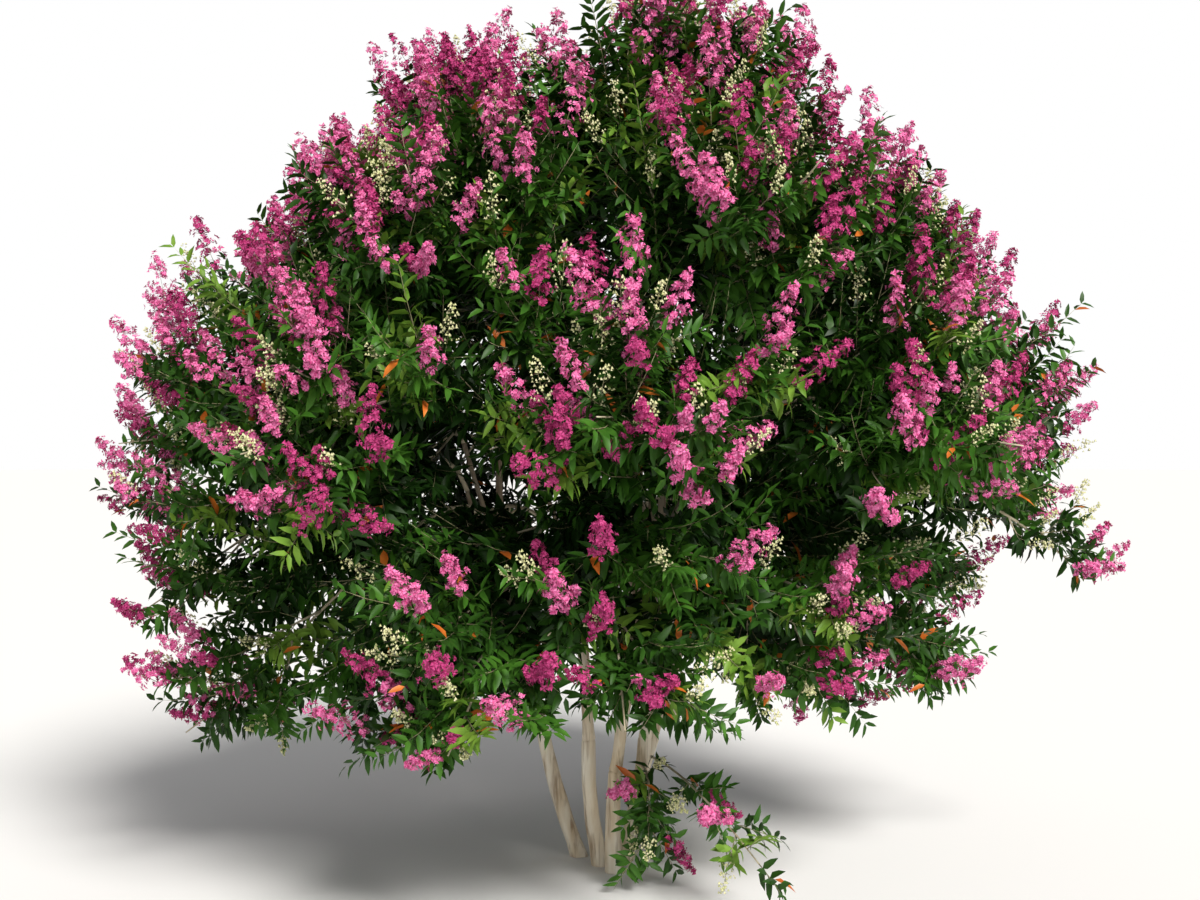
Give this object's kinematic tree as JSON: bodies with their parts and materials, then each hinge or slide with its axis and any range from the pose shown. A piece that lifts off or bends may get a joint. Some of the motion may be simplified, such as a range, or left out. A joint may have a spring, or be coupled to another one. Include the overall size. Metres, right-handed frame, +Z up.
{
  "type": "crape myrtle tree",
  "caption": "Crape myrtle in flower: a clump of smooth pale stems, cut flat at the ground, under a round leafy crown with pink panicles.",
  "frame": {"origin": "centre of the flat cut under the front stem, at ground level", "axes": "+Z up the plant, -Y to its front, +X to the right seen from the front"},
  "size_m": [3.6247, 3.2625, 3.1343],
  "materials": {
    "bark": "smooth matt bark, cream to tan with grey-brown mottling",
    "foliage": "deep green leaves with a slight sheen",
    "young_leaves": "yellow-green young leaves with a slight sheen",
    "autumn_leaves": "matt orange leaves",
    "blossom": "matt crinkled pink petals",
    "buds": "matt cream-green buds",
    "twigs": "matt grey-green twigs"
  },
  "bodies": {
    "root": {"stem_front": "bark", "stem_mid_left": "bark", "stem_left": "bark", "stem_mid_right": "bark", "stem_right": "bark", "bough_top_1": "bark", "bough_top_2": "bark", "bough_top_3": "bark", "bough_shoulder_1": "bark", "bough_shoulder_2": "bark", "bough_shoulder_3": "bark", "bough_shoulder_4": "bark", "bough_shoulder_5": "bark", "bough_shoulder_6": "bark", "bough_girdle_1": "bark", "bough_girdle_2": "bark", "bough_girdle_3": "bark", "bough_girdle_4": "bark", "bough_girdle_5": "bark", "bough_girdle_6": "bark", "bough_girdle_7": "bark", "bough_girdle_8": "bark", "bough_skirt_1": "bark", "bough_skirt_2": "bark", "bough_skirt_3": "bark", "bough_skirt_4": "bark", "bough_skirt_5": "bark", "bough_skirt_6": "bark", "bough_flank_1": "bark", "bough_apron_1": "bark", "bough_spur_1": "bark", "foliage_top_1": "foliage", "foliage_top_2": "foliage", "foliage_top_3": "foliage", "foliage_shoulder_1": "foliage", "foliage_shoulder_2": "foliage", "foliage_shoulder_3": "foliage", "foliage_shoulder_4": "foliage", "foliage_shoulder_5": "foliage", "foliage_shoulder_6": "foliage", "foliage_girdle_1": "foliage", "foliage_girdle_2": "foliage", "foliage_girdle_3": "foliage", "foliage_girdle_4": "foliage", "foliage_girdle_5": "foliage", "foliage_girdle_6": "foliage", "foliage_girdle_7": "foliage", "foliage_girdle_8": "foliage", "foliage_skirt_1": "foliage", "foliage_skirt_2": "foliage", "foliage_skirt_3": "foliage", "foliage_skirt_4": "foliage", "foliage_skirt_5": "foliage", "foliage_skirt_6": "foliage", "foliage_flank_1": "foliage", "foliage_apron_1": "foliage", "foliage_spur_1": "foliage", "foliage_low_front": "foliage", "foliage_low_right": "foliage"}
  },
  "joints": []
}
